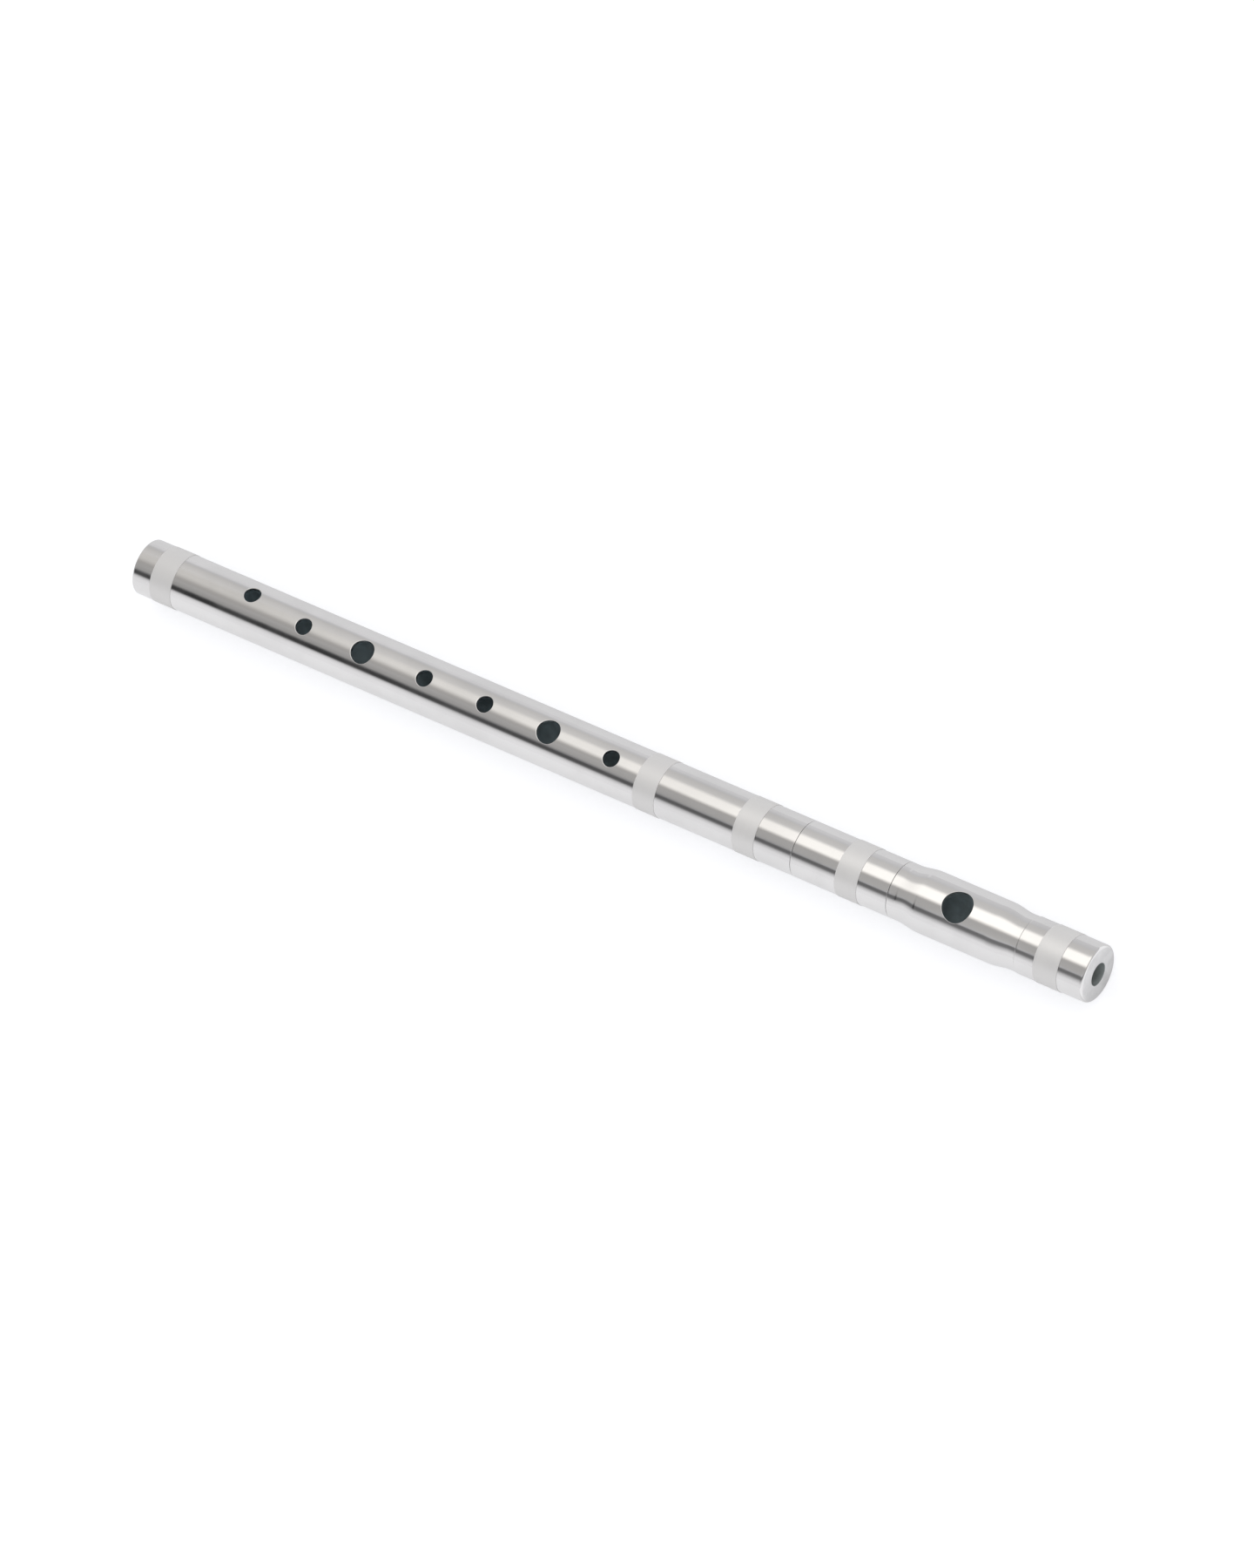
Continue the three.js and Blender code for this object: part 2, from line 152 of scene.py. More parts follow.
class FifeSizes(bpy.types.PropertyGroup):
    """Sizes of the fife that the frame's boxes don't give."""

    bore: FloatProperty(name="Bore", description="Diameter of the bore", default=0.015, unit="LENGTH")
    clearance: FloatProperty(
        name="Clearance", description="Gap round the sliding tenon", default=0.0001, unit="LENGTH"
    )
    solder_gap: FloatProperty(
        name="Solder Gap", description="Gap left between soldered rings", default=0.00002, unit="LENGTH"
    )
    body_socket: FloatProperty(
        name="Body Socket", description="Depth of the body joint's socket", default=0.0225, unit="LENGTH"
    )
    head_socket: FloatProperty(
        name="Head Socket", description="Depth of the head joint's socket", default=0.015, unit="LENGTH"
    )
    sleeved_wall: FloatProperty(
        name="Sleeved Wall", description="Head tube wall under the lip sleeve", default=0.00065, unit="LENGTH"
    )
    edge_round: FloatProperty(
        name="Edge Round", description="Rounding of the seams' edges", default=0.00016, unit="LENGTH"
    )
    seam_close: FloatProperty(
        name="Seam Close", description="How far each side closes its seam", default=0.0001, unit="LENGTH"
    )
    foot_round: FloatProperty(
        name="Foot Round", description="Rounding of the foot's rim", default=0.00055, unit="LENGTH"
    )
    groove: FloatProperty(
        name="Band Groove", description="Depth of the grooves for the bands", default=0.00025, unit="LENGTH"
    )
    band_round: FloatProperty(
        name="Band Round", description="Rounding of the bands' edges", default=0.0001, unit="LENGTH"
    )
    small_hole: FloatProperty(
        name="Small Hole", description="Diameter of a small finger hole", default=0.0052, unit="LENGTH"
    )
    large_hole: FloatProperty(
        name="Large Hole", description="Diameter of a large finger hole", default=0.0074, unit="LENGTH"
    )
    hole_round: FloatProperty(
        name="Hole Round", description="Rounding of the finger holes' rims", default=0.0003, unit="LENGTH"
    )
    lean: FloatProperty(
        name="First Hole Lean",
        description="Angle by which the first hole leans from the row",
        default=math.radians(19),
        subtype="ANGLE",
    )
    blow_length: FloatProperty(
        name="Blow Hole Length", description="Along the tube", default=0.0095, unit="LENGTH"
    )
    blow_width: FloatProperty(
        name="Blow Hole Width", description="Across the tube", default=0.0097, unit="LENGTH"
    )
    blow_round: FloatProperty(
        name="Blow Hole Round", description="Rounding of the blow hole's rim", default=0.00025, unit="LENGTH"
    )
    undercut: FloatProperty(
        name="Undercut", description="Widening of the blow hole inside", default=0.00035, unit="LENGTH"
    )
    lip_land: FloatProperty(
        name="Lip Land", description="Straight ends of the lip sleeve", default=0.0023, unit="LENGTH"
    )
    barrel_slope: FloatProperty(
        name="Barrel Slope", description="Length of the barrel's slopes", default=0.0075, unit="LENGTH"
    )
    crown_wall: FloatProperty(
        name="Crown Wall", description="Thickness of the crown's end", default=0.0057, unit="LENGTH"
    )
    crown_hole: FloatProperty(
        name="Crown Hole", description="Diameter of the crown's hole", default=0.007, unit="LENGTH"
    )
    crown_round: FloatProperty(
        name="Crown Round", description="Rounding of the crown's rim", default=0.0009, unit="LENGTH"
    )
    turn_steps: IntProperty(name="Turn Steps", description="Steps round a turned piece", default=288)
    hole_steps: IntProperty(name="Hole Steps", description="Steps round a bored hole", default=96)
    arc_steps: IntProperty(name="Arc Steps", description="Steps along a rounded edge", default=6)
    arc_support: FloatProperty(
        name="Arc Support", description="From an arc to the ring beside it", default=0.00015, unit="LENGTH"
    )


class FifeColours(bpy.types.PropertyGroup):
    """Colours of the fife's finishes."""

    polished: FloatVectorProperty(
        name="Polished", description="Bright nickel plate", subtype="COLOR", default=(0.815, 0.805, 0.8)
    )
    satin: FloatVectorProperty(
        name="Satin", description="Satin nickel bands", subtype="COLOR", default=(0.77, 0.76, 0.755)
    )
    face: FloatVectorProperty(
        name="Crown Face", description="Faced end of the crown", subtype="COLOR", default=(0.755, 0.75, 0.75)
    )
    bore: FloatVectorProperty(
        name="Bore", description="Dulled inside of the tube", subtype="COLOR", default=(0.62, 0.72, 0.76)
    )
    # Painted shade: the crown's inside gets a darker copy of the bore's colour, which stands in for the shade
    # deep inside the crown.
    crown: FloatVectorProperty(
        name="Crown Inside",
        description="Dulled inside of the crown",
        subtype="COLOR",
        default=(0.33, 0.36, 0.36),
    )
    slide: FloatVectorProperty(
        name="Slide", description="Bare nickel silver slide", subtype="COLOR", default=(0.72, 0.68, 0.58)
    )
    brass: FloatVectorProperty(
        name="Brass", description="Stopper's brass", subtype="COLOR", default=(0.76, 0.56, 0.26)
    )
    cork: FloatVectorProperty(
        name="Cork", description="Stopper's cork", subtype="COLOR", default=(0.46, 0.29, 0.155)
    )


def sizes():
    return bpy.context.scene.fife_sizes


def colours():
    return bpy.context.scene.fife_colours


# Turning and boring


def deselect_all():
    if bpy.context.object and bpy.context.object.mode != "OBJECT":
        bpy.ops.object.mode_set(mode="OBJECT")
    bpy.ops.object.select_all(action="DESELECT")


def activate(piece):
    deselect_all()
    piece.select_set(True)
    bpy.context.view_layer.objects.active = piece


def filleted(corners):
    """Outline points of (station, radius, rounding) corners, with an arc at each rounded corner.

    Where there is room, a point beside the arc keeps its bent normals off the straight wall.
    """
    steps = sizes().arc_steps
    beside = sizes().arc_support
    points = []
    for i, (station, radius, rounding) in enumerate(corners):
        corner = Vector((station, radius))
        if not rounding:
            points.append(corner)
            continue
        to_before = Vector(corners[i - 1][:2]) - corner
        to_after = Vector(corners[(i + 1) % len(corners)][:2]) - corner
        before, after = to_before.normalized(), to_after.normalized()
        half = before.angle(after) / 2
        reach = rounding / math.tan(half)
        centre = corner + (before + after).normalized() * (rounding / math.sin(half))
        first = corner + before * reach - centre
        last = corner + after * reach - centre
        sweep = math.pi - 2 * half
        if to_before.length > 2 * reach + 3 * beside:
            points.append(corner + before * (reach + beside))
        for step in range(steps + 1):
            share = step / steps
            weight_first = math.sin((1 - share) * sweep) / math.sin(sweep)
            weight_last = math.sin(share * sweep) / math.sin(sweep)
            points.append(centre + first * weight_first + last * weight_last)
        if to_after.length > 2 * reach + 3 * beside:
            points.append(corner + after * (reach + beside))
    return points


def turn(name, outline, closed=True):
    """Draws an outline vertex by vertex and turns it round the tube's axis."""
    deselect_all()
    bpy.ops.mesh.primitive_plane_add(size=0.001, location=(0, 0, 0))
    piece = bpy.context.object
    piece.name = name
    piece.data.name = name
    bpy.ops.object.mode_set(mode="EDIT")
    bpy.ops.mesh.select_all(action="SELECT")
    bpy.ops.mesh.merge(type="CENTER")
    bpy.ops.transform.translate(value=(outline[0].x, 0, outline[0].y))
    path = outline + [outline[0]] if closed else outline
    for here, there in zip(path, path[1:]):
        step = (there.x - here.x, 0, there.y - here.y)
        bpy.ops.mesh.extrude_vertices_move(TRANSFORM_OT_translate={"value": step})
    bpy.ops.mesh.select_all(action="SELECT")
    bpy.ops.mesh.remove_doubles(threshold=SAME_POINT)
    steps = sizes().turn_steps
    bpy.ops.mesh.spin(steps=steps, angle=2 * math.pi, center=(0, 0, 0), axis=(1, 0, 0))
    bpy.ops.mesh.select_all(action="SELECT")
    bpy.ops.mesh.remove_doubles(threshold=SAME_POINT)
    bpy.ops.mesh.normals_make_consistent(inside=False)
    bpy.ops.object.mode_set(mode="OBJECT")
    return piece


def shade(piece):
    activate(piece)
    bpy.ops.object.shade_smooth_by_angle(angle=SMOOTH_ANGLE)


def hole_cutter(station, length, width, wall_radius, rounding, undercut=0.0, lean=0.0):
    """A plug whose rounded mouth follows the saddle of the tube's wall, so its rim is even."""
    bore_radius = sizes().bore / 2
    steps = sizes().arc_steps
    drop = rounding * math.sin(MOUTH_ARC)
    rings = [
        (undercut, bore_radius / 2),
        (undercut, bore_radius - UNDERCUT_DEPTH),
        (0.0, wall_radius - drop),
    ]
    for step in range(1, steps + 2):
        angle = MOUTH_ARC * step / steps
        rings.append((rounding * (1 - math.cos(angle)), wall_radius - drop + rounding * math.sin(angle)))
    rings.append((rings[-1][0], wall_radius + CUTTER_OVERSHOOT))

    deselect_all()
    bpy.ops.mesh.primitive_circle_add(vertices=sizes().hole_steps, radius=0.5, location=(0, 0, 0))
    cutter = bpy.context.object
    bpy.ops.object.mode_set(mode="EDIT")
    bpy.ops.mesh.select_all(action="SELECT")
    span = (length + 2 * rings[0][0], width + 2 * rings[0][0])
    bpy.ops.transform.resize(value=(span[0], span[1], 1), center_override=(0, 0, 0))
    bpy.ops.transform.translate(value=(0, 0, rings[0][1]))
    for (_, low), (growth, high) in zip(rings, rings[1:]):
        wider = (length + 2 * growth, width + 2 * growth)
        bpy.ops.mesh.extrude_region_move(TRANSFORM_OT_translate={"value": (0, 0, high - low)})
        stretch = (wider[0] / span[0], wider[1] / span[1], 1)
        bpy.ops.transform.resize(value=stretch, center_override=(0, 0, 0))
        span = wider
    bpy.ops.mesh.select_all(action="SELECT")
    bpy.ops.mesh.fill_holes(sides=0)
    bpy.ops.mesh.normals_make_consistent(inside=False)
    bpy.ops.object.mode_set(mode="OBJECT")
    for vertex in cutter.data.vertices:
        if vertex.co.z > wall_radius - drop - SAME_POINT:
            vertex.co.z += math.sqrt(wall_radius**2 - vertex.co.y**2) - wall_radius
    leaning = Matrix.Rotation(-lean, 4, "X")
    cutter.data.transform(Matrix.Translation((station, 0, 0)) @ leaning)
    return cutter


def cut_with(piece, cutter):
    activate(piece)
    bpy.ops.object.modifier_add(type="BOOLEAN")
    modifier = piece.modifiers[-1]
    modifier.operation = "DIFFERENCE"
    modifier.solver = "EXACT"
    modifier.object = cutter
    bpy.ops.object.modifier_apply(modifier=modifier.name)
    bpy.data.objects.remove(cutter)


def bore_holes(piece, holes, wall_radius):
    """Bores holes, then gives the wall round each rim the even normals of the uncut turned wall."""
    shade(piece)
    bpy.ops.object.duplicate()
    uncut = bpy.context.object
    for hole in holes:
        cut_with(piece, hole_cutter(wall_radius=wall_radius, **hole))
    shade(piece)
    rims = piece.vertex_groups.new(name="rims")
    for vertex in piece.data.vertices:
        on_wall = abs(math.hypot(vertex.co.y, vertex.co.z) - wall_radius) < ON_WALL
        near = any(abs(vertex.co.x - hole["station"]) < ring_reach(hole) - ON_WALL / 2 for hole in holes)
        if on_wall and near:
            rims.add([vertex.index], 1.0, "REPLACE")
    bpy.ops.object.modifier_add(type="DATA_TRANSFER")
    modifier = piece.modifiers[-1]
    modifier.object = uncut
    modifier.use_loop_data = True
    modifier.data_types_loops = {"CUSTOM_NORMAL"}
    modifier.loop_mapping = "POLYINTERP_NEAREST"
    modifier.vertex_group = rims.name
    bpy.ops.object.modifier_apply(modifier=modifier.name)
    piece.vertex_groups.clear()
    bpy.data.objects.remove(uncut)


def ring_reach(hole):
    """Half the length of wall that is kept for one hole, from its centre to the ring beside it."""
    return hole["length"] / 2 + hole["rounding"] + KEPT_WALL


def wall_rings(holes, radius):
    """Corners beside each hole, towards the foot, which keep the cut faces short."""
    corners = []
    for hole in sorted(holes, key=lambda hole: -hole["station"]):
        corners.append((hole["station"] + ring_reach(hole), radius, 0))
        corners.append((hole["station"] - ring_reach(hole), radius, 0))
    return corners


def band_groove(node, host_radius):
    """Corners of the groove that a band sits in, towards the foot."""
    low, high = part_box(node)
    start = low.x - sizes().solder_gap
    end = high.x + sizes().solder_gap
    floor = host_radius - sizes().groove
    edge = sizes().band_round / 2
    return [(end, host_radius, edge), (end, floor, 0), (start, floor, 0), (start, host_radius, edge)]


def finish_piece(piece, body, node, slot, *materials):
    """Gives a piece its finishes and ties it to the frame."""
    piece.data.materials.clear()
    for material in materials:
        piece.data.materials.append(material)
    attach(piece, body)
    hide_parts(node)
    return piece


def darken_bore(piece):
    """Gives the second finish to the faces of the bore."""
    bore_radius = sizes().bore / 2
    for face in piece.data.polygons:
        radial = Vector((0, face.center.y, face.center.z))
        inward = face.normal.dot(radial.normalized()) < FACES_AXIS
        if inward and radial.length < bore_radius + ON_WALL:
            face.material_index = 1


# Finishes


class NodeKit:
    """Short ways to add and join the nodes of one tree."""

    def __init__(self, tree):
        self.nodes = tree.nodes
        self.links = tree.links

    def give(self, value, socket):
        """Links another node's output to a socket, or sets a plain value on it."""
        if isinstance(value, bpy.types.NodeSocket):
            self.links.new(value, socket)
        else:
            socket.default_value = value

    def new(self, kind, **values):
        """A node whose named inputs are given values. An underscore stands for a space."""
        node = self.nodes.new("ShaderNode" + kind)
        for label, value in values.items():
            self.give(value, node.inputs[label.replace("_", " ")])
        return node

    def operate(self, kind, operation, *values):
        """A math node of either kind, with its values in their order."""
        node = self.nodes.new("ShaderNode" + kind)
        node.operation = operation
        for value, socket in zip(values, node.inputs):
            self.give(value, socket)
        return node

    def combined(self, operation, *values):
        return self.operate("Math", operation, *values).outputs["Value"]

    def stretched(self, vector, amounts):
        return self.operate("VectorMath", "MULTIPLY", vector, amounts).outputs["Vector"]

    def ranged(self, value, start, end, low=0.0, high=1.0, kind="LINEAR"):
        """A number that runs from low to high as the value runs from start to end."""
        node = self.new("MapRange", Value=value, From_Min=start, From_Max=end, To_Min=low, To_Max=high)
        node.interpolation_type = kind
        return node.outputs["Result"]

    def eased(self, value, start, end):
        """A number that runs softly from 0 to 1 as the value runs from start to end."""
        return self.ranged(value, start, end, kind="SMOOTHSTEP")

    def spread(self, share, low, high):
        """A number that runs from low to high as the share runs from 0 to 1."""
        return self.ranged(share, 0.0, 1.0, low, high)

    def between(self, share, first, second, kind="RGBA"):
        """A colour between two, or a number where the kind is FLOAT."""
        node = self.nodes.new("ShaderNodeMix")
        node.data_type = kind
        for label, value in (("Factor", share), ("A", first), ("B", second)):
            self.give(value, node.inputs[label])
        return node.outputs["Result"]

    def layered(self, share, first, second):
        """A shader between two."""
        node = self.new("MixShader", Fac=share)
        self.links.new(first, node.inputs[1])
        self.links.new(second, node.inputs[2])
        return node.outputs["Shader"]

    def coordinates(self, label):
        """The X, Y and Z of a place on the object, or of a direction in the world."""
        place = self.new("TexCoord")
        split = self.new("SeparateXYZ", Vector=place.outputs[label])
        return split.outputs["X"], split.outputs["Y"], split.outputs["Z"]


def new_group(name, inputs, outputs):
    group = bpy.data.node_groups.new(name, "ShaderNodeTree")
    for label, kind, value in inputs:
        socket = group.interface.new_socket(name=label, in_out="INPUT", socket_type=kind)
        if value is not None:
            socket.default_value = value
    for label, kind in outputs:
        group.interface.new_socket(name=label, in_out="OUTPUT", socket_type=kind)
    return group, group.nodes.new("NodeGroupInput"), group.nodes.new("NodeGroupOutput")


def lathe_lines_group():
    """Fine lines round the tube, as a lathe tool or an abrasive cloth leaves them."""
    name = "Lathe Lines"
    if name in bpy.data.node_groups:
        return bpy.data.node_groups[name]
    group, inside, outside = new_group(
        name,
        [("Vector", "NodeSocketVector", None), ("Lines per Metre", "NodeSocketFloat", 6000.0)],
        [("Height", "NodeSocketFloat")],
    )
    kit = NodeKit(group)
    amounts = kit.new("CombineXYZ", X=inside.outputs["Lines per Metre"], Y=90.0, Z=90.0)
    vector = kit.stretched(inside.outputs["Vector"], amounts.outputs["Vector"])
    noise = kit.new("TexNoise", Vector=vector, Scale=1.0, Detail=3.0, Roughness=0.6)
    kit.give(noise.outputs["Fac"], outside.inputs["Height"])
    return group


def handling_group():
    """Soft smudges and long faint wipe marks, where hands and a cloth have been."""
    name = "Handling"
    if name in bpy.data.node_groups:
        return bpy.data.node_groups[name]
    group, inside, outside = new_group(
        name,
        [("Vector", "NodeSocketVector", None), ("Size", "NodeSocketFloat", 60.0)],
        [("Smudge", "NodeSocketFloat"), ("Wipe", "NodeSocketFloat")],
    )
    kit = NodeKit(group)
    vector = inside.outputs["Vector"]
    smudge = kit.new("TexNoise", Vector=vector, Scale=inside.outputs["Size"], Detail=4.0, Roughness=0.55)
    smudge.inputs["Distortion"].default_value = 0.4
    kit.give(kit.eased(smudge.outputs["Fac"], 0.38, 0.68), outside.inputs["Smudge"])
    wipe = kit.new("TexNoise", Vector=kit.stretched(vector, (40.0, 1400.0, 1400.0)), Scale=1.0, Detail=2.0)
    kit.give(wipe.outputs["Fac"], outside.inputs["Wipe"])
    return group


class Finish(NodeKit):
    """A material under construction."""

    def __init__(self, name, metallic):
        self.material = bpy.data.materials.new(name)
        self.material.use_nodes = True
        super().__init__(self.material.node_tree)
        self.shader = self.nodes["Principled BSDF"]
        self.shader.inputs["Metallic"].default_value = metallic
        self.place = self.new("TexCoord").outputs["Object"]

    def group(self, tree, **values):
        """One of the node groups, placed on the object's own coordinates."""
        node = self.nodes.new("ShaderNodeGroup")
        node.node_tree = tree
        self.give(self.place, node.inputs["Vector"])
        for label, value in values.items():
            node.inputs[label.replace("_", " ")].default_value = value
        return node

    def feed(self, label, output):
        self.give(output, self.shader.inputs[label])

    def bump(self, output, distance, strength=1.0):
        node = self.new("Bump", Strength=strength, Distance=distance, Height=output)
        self.feed("Normal", node.outputs["Normal"])


def shaded(colour, amount=1):
    """A colour with its alpha, darkened where the amount is under 1."""
    return (*(channel * amount for channel in colour), 1)


def polished_plate():
    finish = Finish("polished_plate", 1.0)
    handling = finish.group(handling_group(), Size=55.0)
    smudge, wipe = handling.outputs["Smudge"], handling.outputs["Wipe"]
    colour = tuple(colours().polished)
    finish.feed("Base Color", finish.between(smudge, shaded(colour), shaded(colour, 0.95)))
    rough = finish.combined("ADD", finish.spread(smudge, 0.07, 0.11), finish.spread(wipe, 0.0, 0.02))
    finish.feed("Roughness", rough)
    finish.bump(wipe, 0.0000012)
    return finish.material


def satin_plate():
    finish = Finish("satin_plate", 0.4)
    lines = finish.group(lathe_lines_group(), Lines_per_Metre=7000.0).outputs["Height"]
    smudge = finish.group(handling_group(), Size=140.0).outputs["Smudge"]
    colour = tuple(colours().satin)
    finish.feed("Base Color", finish.between(lines, shaded(colour, 0.94), shaded(colour)))
    rough = finish.combined("ADD", finish.spread(lines, 0.42, 0.56), finish.spread(smudge, 0.0, -0.05))
    finish.feed("Roughness", rough)
    finish.bump(lines, 0.000008)
    return finish.material


def faced_plate():
    """The crown's end, whose fine lines run in rings round the axis."""
    finish = Finish("faced_plate", 1.0)
    across = finish.stretched(finish.place, (0, 1, 1))
    radius = finish.operate("VectorMath", "LENGTH", across).outputs["Value"]
    rings = finish.new("CombineXYZ", X=radius)
    turned = finish.group(lathe_lines_group(), Lines_per_Metre=9000.0)
    finish.give(rings.outputs["Vector"], turned.inputs["Vector"])
    lines = turned.outputs["Height"]
    smudge = finish.group(handling_group(), Size=220.0).outputs["Smudge"]
    colour = tuple(colours().face)
    finish.feed("Base Color", finish.between(smudge, shaded(colour), shaded(colour, 0.9)))
    finish.feed("Roughness", finish.spread(lines, 0.3, 0.45))
    finish.bump(lines, 0.000006)
    return finish.material


def dulled(name, colour):
    """The dull inside of a tube, which hands and a cloth don't reach, in the colour it is given; the crown's
    colour carries painted shade.
    """
    finish = Finish(name, 0.0)
    smudge = finish.group(handling_group(), Size=90.0).outputs["Smudge"]
    finish.feed("Base Color", finish.between(smudge, shaded(colour), shaded(colour, 0.6)))
    finish.feed("Roughness", finish.spread(smudge, 0.42, 0.6))
    return finish.material


def dark_bore():
    return dulled("dark_bore", tuple(colours().bore))


# Painted shade: the bore's dull finish in the crown's darker colour, which darkens the crown's inside and
# hole where shade falls.
def shaded_crown_inside():
    return dulled("shaded_crown_inside", tuple(colours().crown))


def slide_silver():
    finish = Finish("slide_silver", 1.0)
    lines = finish.group(lathe_lines_group(), Lines_per_Metre=3500.0).outputs["Height"]
    smudge = finish.group(handling_group(), Size=120.0).outputs["Smudge"]
    colour = tuple(colours().slide)
    finish.feed("Base Color", finish.between(smudge, shaded(colour), shaded(colour, 0.82)))
    rough = finish.combined("ADD", finish.spread(smudge, 0.16, 0.3), finish.spread(lines, 0.0, 0.06))
    finish.feed("Roughness", rough)
    finish.bump(lines, 0.000005)
    return finish.material


def turned_brass():
    finish = Finish("turned_brass", 1.0)
    lines = finish.group(lathe_lines_group(), Lines_per_Metre=5000.0).outputs["Height"]
    smudge = finish.group(handling_group(), Size=300.0).outputs["Smudge"]
    colour = tuple(colours().brass)
    finish.feed("Base Color", finish.between(smudge, shaded(colour), shaded(colour, 0.75)))
    finish.feed("Roughness", finish.spread(smudge, 0.2, 0.38))
    finish.bump(lines, 0.000006)
    return finish.material


def grained_cork():
    finish = Finish("grained_cork", 0.0)
    cells = finish.new("TexVoronoi", Vector=finish.place, Scale=1500.0)
    cells.feature = "DISTANCE_TO_EDGE"
    pores = finish.new("TexNoise", Vector=finish.place, Scale=900.0, Detail=5.0, Roughness=0.65)
    flecks = finish.eased(pores.outputs["Fac"], 0.54, 0.66)
    colour = tuple(colours().cork)
    finish.feed("Base Color", finish.between(flecks, shaded(colour), shaded(colour, 0.32)))
    finish.feed("Roughness", finish.spread(flecks, 0.72, 0.92))
    grain, pits = finish.spread(cells.outputs["Distance"], 0.0, 0.5), finish.spread(flecks, 0.0, -1.0)
    finish.bump(finish.combined("ADD", grain, pits), 0.00006, 0.7)
    return finish.material


def material_of(maker):
    """The finish that a maker function makes, made only once."""
    return bpy.data.materials.get(maker.__name__) or maker()


# Pieces


def finger_holes():
    set_up = sizes()
    holes = []
    for distance, large, leans in FINGER_HOLES:
        diameter = set_up.large_hole if large else set_up.small_hole
        holes.append({
            "station": FOOT_END + distance,
            "length": diameter,
            "width": diameter,
            "rounding": set_up.hole_round,
            "lean": set_up.lean if leans else 0.0,
        })
    return holes


def blow_hole():
    set_up = sizes()
    return {
        "station": BLOW_HOLE,
        "length": set_up.blow_length,
        "width": set_up.blow_width,
        "rounding": set_up.blow_round,
        "undercut": set_up.undercut,
    }


class FIFE_OT_body_tube(bpy.types.Operator):
    """Turns the body tube with its socket and grooves, and bores its finger holes"""

    bl_idname = "fife.body_tube"
    bl_label = "Body Tube"

    def execute(self, context):
        set_up = sizes()
        bore = set_up.bore / 2
        socket = TENON_RADIUS + set_up.clearance
        seam = BODY_END + set_up.seam_close
        floor = BODY_END - set_up.body_socket
        edge = set_up.edge_round
        holes = finger_holes()
        inner = [(station, bore, 0) for station, _, _ in reversed(wall_rings(holes, bore))]
        corners = [
            (FOOT_END, bore, edge),
            *inner,
            (floor, bore, 0),
            (floor, socket, 0),
            (seam, socket, edge / 2),
            (seam, TUBE_RADIUS, edge),
            *band_groove("socket_band", TUBE_RADIUS),
            *band_groove("body_band", TUBE_RADIUS),
            *wall_rings(holes, TUBE_RADIUS),
            *band_groove("foot_band", TUBE_RADIUS),
            (FOOT_END, TUBE_RADIUS, set_up.foot_round),
        ]
        piece = turn("body_joint_tube", filleted(corners))
        bore_holes(piece, holes, TUBE_RADIUS)
        polish = material_of(polished_plate)
        finish_piece(piece, "body_joint", "body_tube", "polished_nickel", polish, material_of(dark_bore))
        darken_bore(piece)
        return {"FINISHED"}


class FIFE_OT_tenon_sleeve(bpy.types.Operator):
    """Turns the thin sleeve of the tuning slide"""

    bl_idname = "fife.tenon_sleeve"
    bl_label = "Tenon Sleeve"

    def execute(self, context):
        low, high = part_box("tenon_sleeve")
        bore = sizes().bore / 2
        edge = sizes().edge_round
        corners = [
            (low.x, bore, edge / 2),
            (high.x, bore, edge / 2),
            (high.x, TENON_RADIUS, edge),
            (low.x, TENON_RADIUS, edge),
        ]
        piece = turn("slide_tenon", filleted(corners))
        shade(piece)
        metal = material_of(slide_silver)
        finish_piece(piece, "tenon", "tenon_sleeve", "slide_metal", metal, material_of(dark_bore))
        darken_bore(piece)
        return {"FINISHED"}


class FIFE_OT_head_tube(bpy.types.Operator):
    """Turns the head joint's inner tube and bores the blow hole through it"""

    bl_idname = "fife.head_tube"
    bl_label = "Head Tube"

    def execute(self, context):
        set_up = sizes()
        bore = set_up.bore / 2
        socket = TENON_RADIUS + set_up.clearance
        start = HEAD_START - set_up.seam_close
        floor = HEAD_START + set_up.head_socket
        sleeved = bore + set_up.sleeved_wall
        shoulder = LIP_START - (HEAD_START - BODY_END) + set_up.seam_close
        edge = set_up.edge_round
        hole = blow_hole()
        inner = [(station, bore, 0) for station, _, _ in reversed(wall_rings([hole], bore))]
        corners = [
            (start, socket, edge / 2),
            (floor, socket, 0),
            (floor, bore, 0),
            *inner,
            (HEAD_END, bore, edge / 2),
            (HEAD_END, sleeved, edge),
            *wall_rings([hole], sleeved),
            (shoulder, sleeved, 0),
            (shoulder, TUBE_RADIUS, edge),
            *band_groove("head_band", TUBE_RADIUS),
            (start, TUBE_RADIUS, edge),
        ]
        piece = turn("head_joint_tube", filleted(corners))
        cut_with(piece, hole_cutter(wall_radius=BARREL_RADIUS, **hole))
        shade(piece)
        polish = material_of(polished_plate)
        finish_piece(piece, "head_joint", "head_tube", "polished_nickel", polish, material_of(dark_bore))
        darken_bore(piece)
        return {"FINISHED"}


